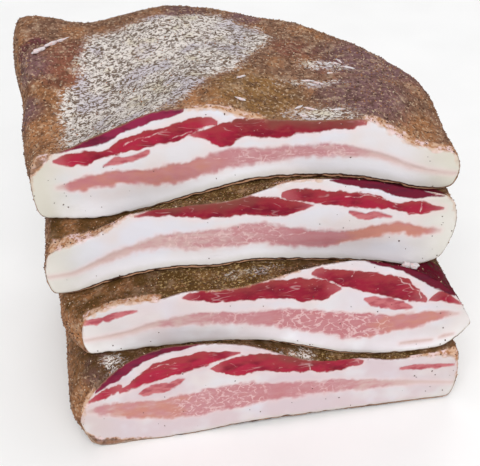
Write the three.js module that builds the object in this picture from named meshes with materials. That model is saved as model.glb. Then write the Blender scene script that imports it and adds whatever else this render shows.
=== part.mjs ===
// Flat pancetta cut into four thick pieces, stacked in steps with the cut faces to the front.
// Millimetres, +Z up. X runs along the cut faces and Y away from them.
// The origin is on the ground under the middle of the stack.
import * as THREE from "three";

// Clearance between a piece and the one it lies on
const PIECE_GAP = 0.5;

// Rounding of the uncut back edge, and the height of its outermost line as a share of the thickness
const BACK_RADIUS = 18;
const RIM_SHARE = 0.5;

// Share of the width where the back starts to round forward to the left and to the right
const CORNER_START = 0.42;

// Depth behind the cut over which a flank swells out
const SWELL_LENGTH = 9;

// Depth behind the cut over which the drawing in of a right flank runs out
const TUCK_LENGTH = 60;

// Rounding of the flanks' edges behind the cut, and the depth over which it grows to that
const FLANK_RADIUS = 9;
const FLANK_RUN_IN = 25;

// Low waves of the flanks and of the back: height, length of one radian, depth over which the flanks' start
const WAVE_HEIGHT = 1.3;
const WAVE_LENGTH = 12;
const WAVE_RUN_IN = 30;

// Depth behind the cut over which the arch under the front of the base runs out to the ground
const ARCH_DEPTH = 30;

// Under its weight a piece's underside goes part of the way to an even level, between these depths
const SETTLE_SHARE = 0.5;
const SETTLE_START = 20;
const SETTLE_END = 110;

// Facets: strips across the middle and around each rounded end, along the depth, and up the cut face
const MIDDLE_STRIPS = 32;
const END_STRIPS = 5;
const LEDGE_SHARES = [0, 0.3, 0.62, 0.92];
const RIM_SLICES = 4;
const FACE_ROWS = 5;

// The top piece's upper side: muscle ridges drift to the right with depth, then pass into a plain crown
const FREE_LEDGE = 14;
const RIDGE_DRIFT = 0.55;
const RIDGE_DRIFT_LIMIT = 45;
const CROWN_START = 15;
const CROWN_END = 105;
const CROWN = [[-135, 168], [-112, 164], [-88, 161.5], [-45, 169.8], [10, 164], [50, 160.5], [95, 144]];

// Low unevenness of the top piece's upper side
const LUMP_HEIGHT = 0.8;
const LUMP_LENGTH_X = 11;
const LUMP_LENGTH_Y = 8;
const LUMP_RUN_IN = 15;

// The pieces from the base up. front and slant place the cut face: its Y at X = 0, and the change of Y
// for each mm of X. ends and endRadii are the left and right end of the cut face and their rounding.
// swell and spread push the left flank out behind the cut: at once, and for each mm of depth.
// tuck draws the right flank in, or out if negative, for each mm of depth at the cut and less further back.
// corners round the back to the left and to the right: the share of the depth that the flank runs straight,
// and the power of the curve, higher for a squarer corner. phase shifts the low waves.
// slices is the number of facets along the depth.
// rise is how far the upper side can climb from the cut edge to the piece that lies on it.
// topEdge and bottomEdge are [X, height] along the two long edges of the cut face.
const PIECES = [
  {
    name: "piece_base",
    front: 0,
    slant: 0.065,
    depth: 145,
    ends: [-105, 96.7],
    endRadii: [8, 5],
    swell: 6.5,
    spread: 0.03,
    tuck: 0,
    corners: [{ straight: 0.8, power: 4 }, { straight: 0.5, power: 2.6 }],
    phase: 0.6,
    slices: 4,
    rise: 14,
    topEdge: [[-105, 29], [-92, 45.5], [-76, 59], [-56, 64.4], [-34, 62.5], [-16, 57.5],
      [8, 44.5], [24, 40], [42, 39.5], [57, 35.3], [80, 34], [96.7, 31]],
    bottomEdge: [[-105, 10], [-98, 1], [-91, 0], [-52, 0], [-10, 3], [28, 2.2], [78, 1.2], [96.7, 0.5]],
  },
  {
    name: "piece_third",
    front: 7,
    slant: 0.0175,
    depth: 140,
    ends: [-100, 100],
    endRadii: [4, 12],
    swell: 12,
    spread: 0.03,
    tuck: 0.42,
    corners: [{ straight: 0.72, power: 3 }, { straight: 0.5, power: 3 }],
    phase: 2.4,
    slices: 4,
    rise: 1.5,
    topEdge: [[-100, 77], [-90, 83.5], [-78, 87], [-62, 86.5], [-49, 90.5], [-25, 89.5], [-5, 94],
      [12, 98.5], [32, 100.5], [50, 97], [66, 91], [80, 81.5], [90, 71], [100, 58]],
    bottomEdge: [[-100, 55.5], [-88, 55.2], [-40, 55.8], [-12, 53], [10, 46.5], [36, 37.8],
      [60, 35.2], [84, 35.8], [100, 45]],
  },
  {
    name: "piece_second",
    front: 23,
    slant: -0.035,
    depth: 136,
    ends: [-115.7, 88],
    endRadii: [4.5, 7],
    swell: 0,
    spread: 0,
    tuck: 0,
    corners: [{ straight: 0.84, power: 4 }, { straight: 0.42, power: 2.4 }],
    phase: 4.1,
    slices: 4,
    rise: 7,
    topEdge: [[-115.7, 102.5], [-100, 109], [-87, 114.5], [-73, 124], [-60, 127], [-26, 129], [-8, 135],
      [10, 140], [40, 137.3], [64, 131], [80, 127], [88, 125]],
    bottomEdge: [[-115.7, 78.5], [-104, 78], [-84, 84], [-54, 89.8], [-32, 89.4], [-13, 92],
      [20, 90], [48, 87.5], [71, 83.7], [81, 87.5], [88, 95]],
  },
  {
    name: "piece_top",
    front: 35,
    slant: -0.0875,
    depth: 136.5,
    ends: [-118.5, 88.3],
    endRadii: [4.5, 6],
    swell: 0.4,
    spread: 0.1,
    tuck: -0.09,
    corners: [{ straight: 0.98, power: 8 }, { straight: 0.13, power: 2.05 }],
    phase: 5.2,
    slices: 14,
    topEdge: [[-118.5, 146], [-104, 150], [-80, 161], [-52, 172], [-30, 172.8], [-16, 167.5], [15, 165],
      [42, 165], [54, 157.5], [68, 149.5], [88.3, 146]],
    bottomEdge: [[-118.5, 112.5], [-92, 111], [-67, 115.5], [-45, 122], [-30, 126.5], [-13, 131.2],
      [6, 133.2], [28, 133], [52, 129.3], [73, 124.7], [88.3, 125.5]],
  },
];

const COLOR = "#d9bfae";
const ROUGHNESS = 0.6;

const { lerp, smoothstep } = THREE.MathUtils;

// Smooth curve through [x, height] points that never overshoots them, as a function of x
function curveThrough(points) {
  const slopes = points.slice(1).map(([x, z], i) => (z - points[i][1]) / (x - points[i][0]));
  const tangents = points.map((point, i) => {
    const before = slopes[Math.max(i - 1, 0)];
    const after = slopes[Math.min(i, slopes.length - 1)];
    return before * after > 0 ? (2 * before * after) / (before + after) : 0;
  });
  return (x) => {
    const inside = THREE.MathUtils.clamp(x, points[0][0], points.at(-1)[0]);
    const next = Math.max(points.findIndex(([end]) => end >= inside), 1);
    const [x0, z0] = points[next - 1];
    const [x1, z1] = points[next];
    const run = x1 - x0;
    const t = (inside - x0) / run;
    const rise = (3 - 2 * t) * t * t;
    const leave = t * (1 - t) * (1 - t) * run * tangents[next - 1];
    const arrive = t * t * (t - 1) * run * tangents[next];
    return lerp(z0, z1, rise) + leave + arrive;
  };
}

// Quarter-circle rise from 0 at a rounded edge to 1 at its radius
function roundedRise(distance, radius) {
  const left = Math.max(1 - distance / radius, 0);
  return Math.sqrt(Math.max(1 - left * left, 0));
}

function frontAt(piece, x) {
  return piece.front + piece.slant * x;
}

// Depth of the visible ledge in front of the piece above
function ledgeAt(piece, above, x) {
  return above ? frontAt(above, x) - frontAt(piece, x) : FREE_LEDGE;
}

function waveAt(piece, along) {
  return WAVE_HEIGHT * Math.sin(along / WAVE_LENGTH + piece.phase);
}

// Depth from the cut to the back at a station across the piece
function depthAt(piece, station) {
  const [left, right] = piece.ends;
  const share = (station - left) / (right - left);
  const onLeft = share < CORNER_START;
  const corner = piece.corners[onLeft ? 0 : 1];
  const t = Math.abs(share - CORNER_START) / (onLeft ? CORNER_START : 1 - CORNER_START);
  const bow = Math.pow(Math.max(1 - Math.pow(t, corner.power), 0), 1 / corner.power);
  return piece.depth * lerp(corner.straight, 1, bow) + waveAt(piece, station);
}

function undersideAt(piece, x, y) {
  const edge = piece.bottomCurve(x);
  const inward = y - frontAt(piece, x);
  if (piece === PIECES[0]) {
    return edge * (1 - smoothstep(inward, 0, ARCH_DEPTH));
  }
  return lerp(edge, piece.level, SETTLE_SHARE * smoothstep(inward, SETTLE_START, SETTLE_END));
}

const crownCurve = curveThrough(CROWN);

function freeTopAt(piece, x, y) {
  const inward = y - frontAt(piece, x);
  const drift = Math.min(RIDGE_DRIFT * inward, RIDGE_DRIFT_LIMIT);
  const crowned = smoothstep(inward, CROWN_START, CROWN_END);
  const lump = LUMP_HEIGHT * Math.sin(x / LUMP_LENGTH_X) * Math.sin((y + x / 2) / LUMP_LENGTH_Y);
  return lerp(piece.topCurve(x - drift), crownCurve(x), crowned) + lump * smoothstep(inward, 0, LUMP_RUN_IN);
}

// Upper side: from the cut edge down or up to the piece that lies on it
function upperSideAt(piece, above, x, y) {
  if (!above) {
    return freeTopAt(piece, x, y);
  }
  const covered = smoothstep((y - frontAt(piece, x)) / ledgeAt(piece, above, x), 0, LEDGE_SHARES.at(-1));
  const edge = piece.topCurve(x);
  return lerp(edge, Math.min(undersideAt(above, x, y) - PIECE_GAP, edge + piece.rise), covered);
}

// Stations along X on the cut face: fine around the two rounded ends, even between them
function acrossStations(piece) {
  const [left, right] = piece.ends;
  const [leftRadius, rightRadius] = piece.endRadii;
  const turn = (step) => 1 - Math.cos((Math.PI / 2) * (step / END_STRIPS));
  const stations = [];
  for (let step = 0; step < END_STRIPS; step += 1) {
    stations.push(left + leftRadius * turn(step));
  }
  for (let step = 0; step <= MIDDLE_STRIPS; step += 1) {
    stations.push(lerp(left + leftRadius, right - rightRadius, step / MIDDLE_STRIPS));
  }
  for (let step = END_STRIPS - 1; step >= 0; step -= 1) {
    stations.push(right - rightRadius * turn(step));
  }
  return stations;
}

// Distances behind the cut: along the ledge, under the piece above, and around the rounded back edge
function depthStations(piece, ledge, depth) {
  const stations = LEDGE_SHARES.map((share) => share * ledge);
  const covered = stations.at(-1);
  const rim = depth - BACK_RADIUS;
  for (let step = 1; step <= piece.slices; step += 1) {
    stations.push(lerp(covered, rim, step / piece.slices));
  }
  for (let step = 1; step <= RIM_SLICES; step += 1) {
    stations.push(rim + BACK_RADIUS * Math.sin((Math.PI / 2) * (step / RIM_SLICES)));
  }
  return stations;
}

// One point of the plan grid: its place and the heights of the upper side and underside there
function gridPoint(piece, above, station, inward, depth) {
  const [left, right] = piece.ends;
  const leftShare = (right - station) / (right - left);
  const wave = waveAt(piece, inward) * smoothstep(inward, 0, WAVE_RUN_IN);
  const push = piece.swell * (1 - Math.exp(-inward / SWELL_LENGTH)) + piece.spread * inward + wave;
  const pull = piece.tuck * TUCK_LENGTH * (1 - Math.exp(-inward / TUCK_LENGTH)) + wave;
  const x = station - push * leftShare * leftShare - pull * (1 - leftShare) * (1 - leftShare);
  const y = frontAt(piece, station) + inward;
  const behind = smoothstep(inward, 0, FLANK_RUN_IN);
  const [leftRadius, rightRadius] = piece.endRadii.map(
    (radius) => lerp(radius, Math.max(radius, FLANK_RADIUS), behind),
  );
  const full = roundedRise(station - left, leftRadius)
    * roundedRise(right - station, rightRadius)
    * roundedRise(depth - inward, BACK_RADIUS);
  const top = upperSideAt(piece, above, x, y);
  const bottom = undersideAt(piece, x, y);
  const rim = lerp(bottom, top, RIM_SHARE);
  return { x, y, top: lerp(rim, top, full), bottom: lerp(rim, bottom, full) };
}

// A piece: an upper and a lower sheet that meet along the rounded rim, closed by the flat cut face
function pieceGeometry(piece, above) {
  const positions = [];
  const triangles = [];
  const addPoint = (x, y, z) => positions.push(x, y, z) / 3 - 1;
  const addQuad = (a, b, c, d, alongFirst) => {
    const pair = alongFirst ? [[a, b, c], [a, c, d]] : [[a, b, d], [b, c, d]];
    triangles.push(...pair.filter(([p, q, r]) => p !== q && q !== r && r !== p).flat());
  };

  const columns = acrossStations(piece);
  const lastColumn = columns.length - 1;
  const grid = columns.map((station, i) => {
    const depth = depthAt(piece, station);
    const stations = depthStations(piece, ledgeAt(piece, above, station), depth);
    return stations.map((inward, j) => {
      const point = gridPoint(piece, above, station, inward, depth);
      const onRim = i === 0 || i === lastColumn || j === stations.length - 1;
      const top = addPoint(point.x, point.y, onRim ? (point.top + point.bottom) / 2 : point.top);
      const bottom = onRim ? top : addPoint(point.x, point.y, point.bottom);
      return { ...point, top, bottom, heights: [point.bottom, point.top], onRim };
    });
  });

  for (let i = 0; i < lastColumn; i += 1) {
    const [near, far] = [grid[i], grid[i + 1]];
    const rightHalf = i >= lastColumn / 2;
    for (let j = 0; j < near.length - 1; j += 1) {
      addQuad(near[j].top, far[j].top, far[j + 1].top, near[j + 1].top, rightHalf);
      addQuad(near[j + 1].bottom, far[j + 1].bottom, far[j].bottom, near[j].bottom, !rightHalf);
    }
  }

  // The cut face, in rows from its bottom edge to its top edge
  const faceColumns = grid.map(([corner]) => {
    const rows = [corner.bottom];
    for (let row = 1; row < FACE_ROWS; row += 1) {
      const height = lerp(corner.heights[0], corner.heights[1], row / FACE_ROWS);
      rows.push(corner.onRim ? corner.bottom : addPoint(corner.x, corner.y, height));
    }
    rows.push(corner.top);
    return rows;
  });
  for (let i = 0; i < lastColumn; i += 1) {
    const [near, far] = [faceColumns[i], faceColumns[i + 1]];
    for (let row = 0; row < FACE_ROWS; row += 1) {
      addQuad(near[row], far[row], far[row + 1], near[row + 1], true);
    }
  }

  const geometry = new THREE.BufferGeometry();
  geometry.setAttribute("position", new THREE.Float32BufferAttribute(positions, 3));
  geometry.setIndex(triangles);
  geometry.computeVertexNormals();
  return geometry;
}

for (const piece of PIECES) {
  piece.topCurve = curveThrough(piece.topEdge);
  piece.bottomCurve = curveThrough(piece.bottomEdge);
  piece.level = piece.bottomEdge.reduce((sum, [, height]) => sum + height, 0) / piece.bottomEdge.length;
}

const pancetta = new THREE.Group();
PIECES.forEach((piece, i) => {
  const material = new THREE.MeshStandardMaterial({ color: COLOR, roughness: ROUGHNESS, metalness: 0 });
  const mesh = new THREE.Mesh(pieceGeometry(piece, PIECES[i + 1]), material);
  mesh.name = piece.name;
  pancetta.add(mesh);
});

// Move the origin to the ground under the middle of the stack
const box = new THREE.Box3().setFromObject(pancetta);
const middle = box.getCenter(new THREE.Vector3());
pancetta.position.set(-middle.x, -middle.y, -box.min.z);

export default pancetta;
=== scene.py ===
"""Flat pancetta cut into four thick pieces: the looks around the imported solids.

Blender works in metres; sizes here are millimetres unless a name says otherwise.
Points are in the frame of the solids: X along the cut faces, Y away from them, Z up.
"""
import functools
import math

import bmesh
import bpy
import numpy as np
from mathutils import Matrix, Quaternion, Vector, noise
from mathutils.bvhtree import BVHTree


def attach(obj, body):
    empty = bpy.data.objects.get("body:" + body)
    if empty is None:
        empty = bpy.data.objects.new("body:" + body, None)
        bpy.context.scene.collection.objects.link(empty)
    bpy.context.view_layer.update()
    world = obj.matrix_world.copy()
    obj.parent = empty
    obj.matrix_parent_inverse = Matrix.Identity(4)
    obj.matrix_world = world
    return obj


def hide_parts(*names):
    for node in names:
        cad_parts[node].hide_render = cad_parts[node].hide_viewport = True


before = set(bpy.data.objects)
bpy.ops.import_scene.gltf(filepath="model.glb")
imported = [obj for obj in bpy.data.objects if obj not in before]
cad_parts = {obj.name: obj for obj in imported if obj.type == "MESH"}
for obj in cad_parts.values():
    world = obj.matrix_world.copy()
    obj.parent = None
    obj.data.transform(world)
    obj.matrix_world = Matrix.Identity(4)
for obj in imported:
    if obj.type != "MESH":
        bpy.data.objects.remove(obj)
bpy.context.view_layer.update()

MM = 0.001

# Camera: place, angle below the horizon, turn to the right, lens and sensor
EYE = (-51.2, -450.1, 403.5)
LOOK_DOWN_DEG = 37.0
LOOK_RIGHT_DEG = 7.0
LENS = 75.0
SENSOR = 36.0

# Surface mesh: levels of rounding, and the longest edge left where the surface shows
ROUNDING_LEVELS = 2
LONGEST_EDGE = 1.15
REFINE_PASSES = 3
WELD = 0.01
# Two triangles of a solid are joined to a quad up to these angles
JOIN_FACE_DEG = 60
JOIN_SHAPE_DEG = 70
# A cut face is upright and looks to the front at least this squarely
FACE_SQUARE = 0.98
FACE_UPRIGHT = 0.02
# Surfaces this close to another piece or to the ground are covered. Distances are measured up to REACH.
COVERED = 1.0
REACH = 6.0
FAR = 100.0
# How far apart in the noise two seeds lie
SEED_STEP = 7.31

# The pieces from the top down. Their solids have piece_ before these names, their dressed forms _slab after.
PIECES = ("top", "second", "third", "base")

# X from which distances along each cut face are counted
ALONG_START = {"top": -100.2, "second": -101.2, "third": -85.2, "base": -89.2}

# Lean bands on each cut face: distance along it, upper height and lower height.
# dark, red and rose are muscles, pale is the paler layer below them, smear is crust rubbed over the edge.
BANDS = {
    "top": [
        ("dark", [(13, 152, 149.8), (19, 156, 151.5), (27, 160, 152.8), (35, 164, 154.9), (43, 168, 160.2),
                  (51, 172, 163.5), (59, 175, 166.4), (66, 176, 168.2), (72, 173, 171)]),
        ("red", [(9.5, 146, 144.4), (18, 149.6, 142.4), (25, 151, 142.3), (32, 150.2, 146.4),
                 (37, 152.6, 148), (44, 157.4, 149.2), (54, 160.8, 151.9), (66, 164, 155), (76, 168, 159.4),
                 (82, 168.7, 162.4), (87.5, 166, 163.8)]),
        ("red", [(74, 159, 158.4), (82, 162, 155.2), (88, 164, 151.8), (93, 165.6, 152.6), (98, 167, 156),
                 (104, 167.5, 157), (114, 168, 155.7), (120, 168, 156.6), (125, 168, 158.6),
                 (133, 167.5, 158.8), (143, 167, 160), (152, 167, 160.6), (157, 165.8, 162)]),
        ("rose", [(33, 142.6, 141.6), (36, 144.8, 142), (40, 147, 143), (46.5, 147.8, 144.4),
                  (51, 149.6, 146.2), (54, 151.2, 147.8), (55.5, 151, 149)]),
        ("pale", [(10, 130.5, 130), (20, 135, 128.2), (32, 137.8, 130.8), (46, 138.8, 131.2),
                  (60, 140.6, 131.3), (72, 143.3, 133), (82, 147, 136.3), (94, 150, 140.3), (110, 150.8, 143),
                  (130, 151.6, 145.8), (142, 152.2, 145.5), (156, 149.3, 145.3), (168, 145.5, 142.8),
                  (180, 140, 138), (190, 136.7, 135.5), (204, 134.2, 133.4)]),
        ("smear", [(-4, 150, 135), (0, 150, 137.5), (2.5, 150.5, 139.5), (5, 151, 143), (7.5, 151.5, 146.5),
                   (14, 153, 151.5)]),
    ],
    "second": [
        ("dark", [(140, 139, 138.5), (150, 139, 135), (162, 137, 132), (174, 134, 127.3), (182, 131, 125),
                  (190, 128.4, 126.2), (197, 126.4, 125.9)]),
        ("red", [(47, 124, 122.8), (60, 128, 122.4), (72, 129, 121.3), (82, 130, 119.8), (92, 130.5, 120),
                 (104, 132, 121), (112, 131, 119.5), (120, 129.2, 119.5), (127, 127, 122),
                 (133, 125, 124.5)]),
        ("red", [(117.5, 133.4, 130.2), (120, 134.9, 128.4), (126, 135.6, 127.6), (134, 134, 125.5),
                 (142, 132.8, 123.4), (152, 131.6, 122.2), (163, 129.2, 120.8), (169, 126.2, 119.6),
                 (174, 123.2, 119.2), (181, 124.4, 115.8), (187, 123.4, 116.4), (193, 121.2, 117.4),
                 (197.5, 119.6, 118.2)]),
        ("rose", [(150.5, 120.6, 118.8), (153, 120.2, 117), (156, 118.8, 115.4), (159, 118, 114.7),
                  (163, 119.6, 114.6), (168, 117.8, 114.7), (172, 115.8, 114.6)]),
        ("pale", [(2, 89.4, 88.8), (14, 91.2, 90.2), (22, 95, 93.2), (32, 100.5, 97), (46, 106.6, 102),
                  (58, 110.8, 104), (74, 112.5, 102.5), (90, 113.4, 102.3), (103, 116, 103.7),
                  (112, 115, 103), (124, 111.7, 101), (138, 109.4, 99.4), (150, 108.8, 101),
                  (164, 110.3, 104), (178, 111.4, 105.6), (186, 109.3, 102.7), (193, 107.2, 103.6),
                  (197, 106, 104.8)]),
    ],
    "third": [
        ("rose", [(-2, 78, 76.5), (5, 78.6, 74.5), (8, 79, 74.3), (12.5, 79.2, 77.6)]),
        ("rose", [(11.5, 78.6, 77.6), (14, 80.2, 76.6), (19, 81.4, 77.4), (25, 82.2, 79.4),
                  (29, 81.6, 80.8)]),
        ("red", [(51, 87.3, 86.3), (58, 90.5, 84), (66, 91, 82.6), (80, 92, 81.6), (92, 93, 81.2),
                 (102, 92.8, 80.3), (112, 92.6, 77), (120, 90.6, 77), (130, 84.2, 82.8)]),
        ("red", [(114.5, 95.8, 93.8), (118, 98, 91.6), (126, 96.2, 87.8), (134, 94.6, 83.6),
                 (146, 92.2, 78.4), (156, 89.6, 74.7), (163, 86.4, 72.2), (168, 81, 70.4), (175, 72, 69)]),
        ("red", [(176, 70.5, 70), (181, 76, 69), (187, 73, 67.3), (194.5, 65.5, 65)]),
        ("dark", [(141, 101, 99.4), (148, 101, 96.2), (156, 99, 93.4), (165, 96, 88.2), (174, 91, 81.3),
                  (182, 84, 76), (190, 77, 71)]),
        ("rose", [(142, 76.4, 74.6), (145, 77, 71.6), (149, 76.4, 69), (156, 74, 67), (162, 72, 65.8),
                  (166, 68.8, 65.9), (168, 67, 66.2)]),
        ("smear", [(62, 96, 88.6), (72, 97, 88.6), (82, 98, 89.4), (91, 100, 91.4), (97, 101, 92.8),
                   (103, 103, 94.4), (108, 105, 96.6), (115, 108, 100.4)]),
        ("pale", [(2, 65.3, 64.6), (20, 68.1, 66.1), (36, 72.7, 69.3), (50, 75, 69.2), (62, 76.2, 68.6),
                  (80, 73.8, 66.4), (96, 73.9, 63), (112, 71.3, 57.7), (126, 68.7, 53.3), (140, 66.4, 48.9),
                  (152, 63.7, 50.5), (164, 62, 52.2), (176, 62.6, 54), (186, 61.3, 57.3), (193, 59.7, 59.3)]),
        ("pale", [(164, 42.6, 42), (172, 43.2, 41.8), (181, 42.8, 42.3)]),
        ("pale", [(185, 44, 43.5), (188, 45.6, 43.7), (192, 45.5, 45)]),
    ],
    "base": [
        ("dark", [(9, 40.5, 39.2), (18, 52, 44.8), (25, 58.5, 49.6), (32, 62.5, 55), (42, 65.4, 59.8),
                  (52, 65.6, 61.4), (60, 64.6, 62.9), (66, 64, 63.3)]),
        ("red", [(4, 33.5, 32.5), (10, 38.8, 34.2), (17, 43.3, 36.5), (20.5, 43.6, 38.5), (22.5, 43, 40.5)]),
        ("red", [(21, 40, 36.8), (27, 44, 38.5), (32, 49.3, 40), (40, 54.9, 42.6), (50, 57, 45),
                 (62, 58.4, 47.5), (72, 57.5, 51), (80, 55.8, 53), (82.5, 55, 53.8)]),
        ("red", [(67, 46.3, 45.8), (74, 49.8, 40.5), (82, 52, 38), (92, 51.5, 39.3), (102, 49.3, 36.7),
                 (112, 46, 35), (119, 42.2, 34.4), (126, 42, 32.5), (138, 40.5, 32.8), (145, 38.2, 34),
                 (147.5, 37.3, 35)]),
        ("rose", [(168, 28.8, 27), (176, 29.3, 25.4), (190, 27, 24), (199, 25.6, 24.2)]),
        ("rose", [(30.5, 35.4, 34.6), (34, 38.4, 33), (38, 39.6, 33.4), (46, 40, 34.8), (51, 41.8, 38),
                  (54, 41.6, 41)]),
        ("smear", [(-2, 26, 8), (2, 14.5, 3), (5, 10.5, 1), (9, 8, -1), (16, 6, -1), (24, 4.4, -1),
                   (34, 2.6, -1), (46, 0.6, -1)]),
        ("pale", [(4, 27.5, 27), (12, 30.3, 23.6), (24, 30, 19), (38, 28.2, 15.6), (54, 30, 14),
                  (70, 31.8, 14.7), (82, 32.3, 15.4), (98, 29.4, 17.3), (114, 27.2, 17.3), (136, 25.5, 17.2),
                  (152, 22.5, 16), (166, 19.5, 15.4), (180, 16.3, 14.6), (203, 11.2, 10.6)]),
    ],
}
LEAN_KINDS = ("dark", "red", "rose", "pale")
BAND_KINDS = (*LEAN_KINDS, "smear")
# What the materials read of the bands: the depth in each kind, and some of the details
LEAN_VALUES = (*BAND_KINDS, *("half_" + kind for kind in LEAN_KINDS), "rise_red", "end_red")
# How unevenly each kind of band ends. A band whose half thickness is below FULL_RAGGED ends more evenly,
# down to a share of LEAST_RAGGED, and no band counts as thinner than THINNEST_BAND. The edges swing by
# WOBBLE, over about WOBBLE_SIZE.
BAND_RAGGEDNESS = {"dark": 0.7, "red": 1.2, "rose": 1.1, "pale": 1.5, "smear": 1.5}
FULL_RAGGED = 3.0
LEAST_RAGGED = 0.1
THINNEST_BAND = 0.1
WOBBLE = 0.8
WOBBLE_SIZE = 6.0
# Notches that fat cuts into the edges of the bands: their size, width, steepness and depth
NOTCH_SIZE = (3.6, 9.0, 9.0)
NOTCH_WIDTH = 0.7
NOTCH_STEEPNESS = 3
NOTCH_DEPTH = 0.6

# Pale lines of connective tissue on the cut faces: distance along, and height
FASCIA = {
    "top": [[(43, 153.5), (50, 156.5), (57, 158.5), (64, 162)], [(66, 157), (76, 161), (86, 163.5)],
            [(85, 144.6), (98, 146), (111, 145), (120, 146.8), (135, 148), (152, 147)]],
    "second": [[(100, 132), (116, 130), (132, 126)], [(186, 124.3), (186, 117)],
               [(86, 128), (97, 130.4), (105, 132.8), (112, 135.2)],
               [(148, 128.6), (155, 127.7), (157.5, 129.2), (164, 127.8), (171, 124.4), (174, 122.6)],
               [(65, 108.2), (86, 109.5), (99, 110.6), (118, 107), (130, 108)]],
    "third": [[(114, 93), (122, 89.5), (134, 83)], [(136, 95), (135, 90.5)],
              [(158, 87.5), (161, 84), (165, 83), (167, 78.5), (171, 77), (172, 72.5)]],
    "base": [[(33.6, 50.5), (42, 52.7), (50, 53)], [(64, 48.4), (72, 50.2), (82, 53.4)],
             [(118.6, 39.6), (119.4, 35)]],
}
FASCIA_SWAY = 0.9
FASCIA_SWAY_SIZE = 4.0

# Stretches of the pale layers that fat runs through in a net: from, to and how strongly.
# Stretches fade over STRETCH_BLEND at their ends.
STRETCH_BLEND = 15
MARBLED = {
    "top": [(85, 160, 0.7)],
    "second": [(50, 130, 0.7)],
    "third": [(50, 95, 0.6), (90, 165, 1.0)],
    "base": [(40, 105, 1.0), (100, 150, 0.6)],
}

# Stretches of the pale layers that turn to orange, in the same way
WARM = {
    "top": [(0, 95, 0.55)],
    "second": [(140, 204, 1.0)],
    "third": [(138, 200, 0.6)],
    "base": [(8, 62, 0.8)],
}

# Stretches of the lean whose upper part has dried to brown, in the same way
DRIED = {
    "top": [(60, 116, 1.0), (100, 164, 0.9)],
    "second": [(50, 120, 0.9), (108, 150, 0.9)],
    "third": [(60, 130, 0.25)],
    "base": [(80, 130, 0.7)],
}

# Colour of the pale layers along each face: distance along, and -1 for deep pink up to 1 for a faded tan
FADING = {
    "top": [(0, -0.4), (30, -0.8), (60, -0.5), (95, 0.0), (150, 0.4), (180, 1.0)],
    "second": [(0, 1.0), (40, 0.9), (80, 0.6), (110, 0.2), (130, -0.2), (196, -0.8)],
    "third": [(0, 1.0), (50, 0.6), (80, 0.0), (100, -0.5), (195, -0.6)],
    "base": [(0, 0.6), (40, 0.2), (100, -0.2), (130, 0.3), (160, 0.8), (203, 1.0)],
}

# How far painted light brightens the fat towards the lower edge of each face, against the shade from the
# ledge in front, and the distances where that starts and ends
PAINTED_LIGHT_FOOT = {"top": 1.0, "second": 1.0, "third": 0.8, "base": 0.0}
FOOT_REACH = (16, 2)

# How far the red lean turns to crimson along each face: distance along, and share
CRIMSON = {
    "top": [(0, 0.8), (85, 0.6), (105, 0.0), (160, 0.1)],
    "second": [(0, 0.0), (110, 0.0), (140, 0.5), (200, 0.5)],
    "third": [(0, 0.1), (115, 0.1), (140, 0.2), (195, 0.3)],
    "base": [(0, 0.8), (80, 0.8), (100, 0.6), (150, 0.6)],
}

# Tones of each piece: how far its fat is flushed, and creamy towards the ends, and its dark lean plum
TONES = {
    "top": {"flushed": 0.0, "creamy": 0.9, "plum": 1.0},
    "second": {"flushed": 0.1, "creamy": 0.7, "plum": 0.2},
    "third": {"flushed": 0.4, "creamy": 0.35, "plum": 0.1},
    "base": {"flushed": 0.8, "creamy": 0.2, "plum": 0.6},
}

# Thickness of the rind's edge along the bottom of each cut face: distance along, and thickness
RIND = {
    "top": [(0, 0.3), (40, 0.9), (70, 2.0), (100, 2.5), (150, 2.6), (185, 2.0), (205, 0.4)],
    "second": [(0, 0.3), (12, 1.0), (30, 2.3), (90, 2.4), (150, 1.9), (178, 0.9), (205, 0.3)],
    "third": [(0, 0.3), (40, 1.4), (120, 1.6), (190, 0.9), (205, 0.4)],
    "base": [(0, 0.3), (60, 1.2), (190, 1.2), (205, 0.3)],
}

# Stretches where the crust thins out to bare fat towards the cut: from, to and how far back.
# They fade over THIN_CRUST_BLEND at their ends, and behind THIN_CRUST_CORE of the way back.
THIN_CRUST = {
    "top": [(-5, 12, 5), (70, 112, 6), (152, 205, 8)],
    "second": [(1, 50, 10), (112, 140, 14), (188, 206, 6)],
    "third": [(0, 44, 7)],
    "base": [(-2, 12, 3.5), (170, 206, 2.5)],
}
THIN_CRUST_BLEND = 6
THIN_CRUST_CORE = 0.3

# Lines along which the ledges show lean instead of crust, how far to each side, and the share in full
BARE_LEAN = {
    "second": [(36, -66, 139.5), (46, -66, 138), (60, -66, 134.5), (86, -67, 128)],
    "third": [(58, -76, 98), (66, -75, 95.5), (82, -74, 87), (92, -74, 79), (110, -74, 64)],
}
BARE_REACH = 15.0
BARE_CORE = 0.6

# Mould on the crust: the large patch on the top piece as an outline, and small spots with their radii
MOULD_OUTLINE = [(-85, -51), (-87, 8), (-77, 20), (-78, 36), (-70, 54), (-33, 58), (0, 58), (12, 49),
                 (25, 35), (14, 16), (3, -2), (-19, -25), (-33, -41), (-60, -55)]
SPOT_FADE = 1.5
# Depths in a patch where mould starts to count and where it counts in full
MOULD_FADE = (-1, 2)
MOULD_SPOTS = {
    "top": [(50, 1, 11, 4), (38, -18, 9, 3), (38, -49, 15, 7)],
    "second": [],
    "third": [(-1, -70, 6, 2)],
    "base": [(-70.5, -87.5, 5, 4), (27, -85, 5, 2)],
}

# How far up a surface faces where mould, the painted ledge shade and grains start, and where they are full.
# Mould counts as STEEP_LOSS less deep where it only just starts.
MOULD_FACING = (0.1, 0.5)
LEDGE_FACING = (0.3, 0.7)
GRAIN_FACING = (-0.5, 0.0)
STEEP_LOSS = 4

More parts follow.
